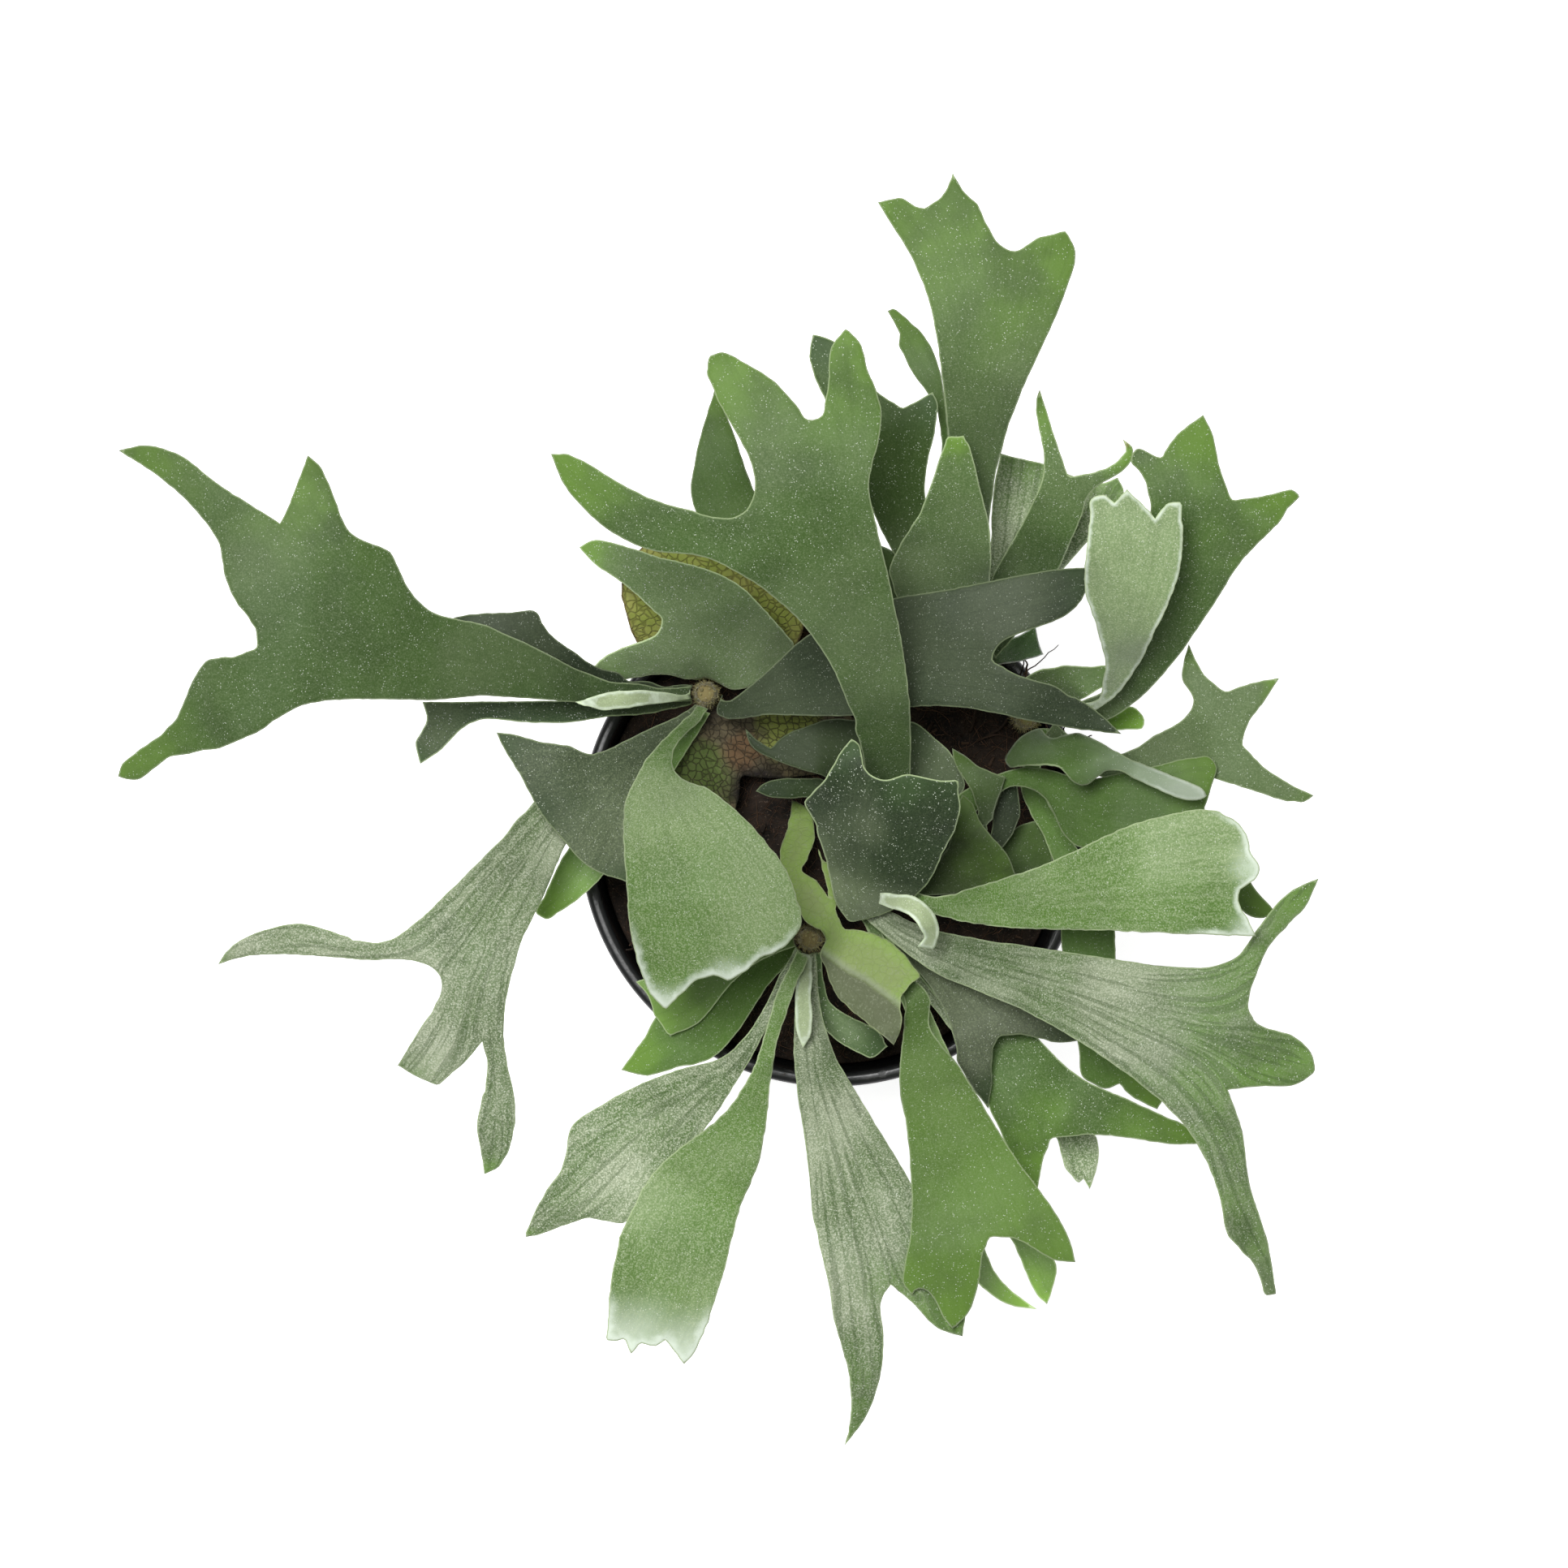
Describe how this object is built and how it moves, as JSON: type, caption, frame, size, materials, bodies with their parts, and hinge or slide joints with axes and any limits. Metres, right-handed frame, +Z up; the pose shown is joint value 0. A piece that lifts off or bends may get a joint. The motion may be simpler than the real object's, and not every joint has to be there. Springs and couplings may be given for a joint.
{
  "type": "potted staghorn fern",
  "caption": "Staghorn fern with forked, downy fronds growing from woolly buds in a round dark nursery pot that stands on its flat base.",
  "frame": {"origin": "centre of the pot's underside, on the surface it stands on", "axes": "+Z up along the pot's axis, +Y towards the back"},
  "size_m": [0.378, 0.397, 0.2802],
  "materials": {
    "pot_plastic": "black moulded plastic, satin, scuffed at the rim",
    "coir_soil": "loose dark coir and peat, matte",
    "bud_wool": "scaly yellow-brown wool, matte",
    "old_shield": "papery, mottled green and brown, veined",
    "young_blade": "pale green under thick down, matte",
    "white_blade": "nearly white down, matte",
    "grey_blade": "grey green, streaked with down",
    "dark_blade": "dark grey green with pale specks",
    "green_blade": "mid green with pale specks and brighter tips"
  },
  "bodies": {
    "root": {"bud_centre": "bud_wool", "bud_east": "bud_wool", "bud_north": "bud_wool", "bud_south": "bud_wool", "bud_west": "bud_wool", "frond_centre_bud_leaf": "white_blade", "frond_centre_dark": "dark_blade", "frond_centre_folded": "green_blade", "frond_centre_green": "green_blade", "frond_centre_grey": "dark_blade", "frond_centre_pointed": "grey_blade", "frond_centre_small": "dark_blade", "frond_centre_tip": "grey_blade", "frond_centre_tongue": "dark_blade", "frond_east_dark": "dark_blade", "frond_east_forked": "grey_blade", "frond_east_great_low": "green_blade", "frond_east_little": "green_blade", "frond_east_shaded": "green_blade", "frond_east_stub": "grey_blade", "frond_east_velvet": "young_blade", "frond_east_wavy": "green_blade", "frond_east_young": "young_blade", "frond_north_front": "green_blade", "frond_north_great": "green_blade", "frond_north_grey": "grey_blade", "frond_north_hidden": "green_blade", "frond_north_notch_leaf": "grey_blade", "frond_north_slender": "green_blade", "frond_north_tall": "green_blade", "frond_north_tip": "green_blade", "frond_north_west_lobed": "grey_blade", "frond_north_west_triangle": "dark_blade", "frond_south_bud_leaf": "white_blade", "frond_south_east_great": "grey_blade", "frond_south_east_green": "green_blade", "frond_south_east_grey": "dark_blade", "frond_south_east_hidden": "green_blade", "frond_south_east_tab": "young_blade", "frond_south_front": "green_blade", "frond_south_hidden": "green_blade", "frond_south_long": "grey_blade", "frond_south_rounded": "green_blade", "frond_south_velvet": "young_blade", "frond_south_west_bright": "green_blade", "frond_south_west_dusky": "dark_blade", "frond_south_west_forked": "grey_blade", "frond_south_west_green": "green_blade", "frond_south_west_small": "green_blade", "frond_south_west_streaked": "grey_blade", "frond_south_west_velvet": "young_blade", "frond_west_bud_leaf": "white_blade", "frond_west_great": "green_blade", "frond_west_shaded_high": "dark_blade", "frond_west_shaded_low": "dark_blade", "pot": "pot_plastic", "shield_north_west": "old_shield", "shield_south": "young_blade", "shield_west": "old_shield", "soil": "coir_soil"}
  },
  "joints": []
}
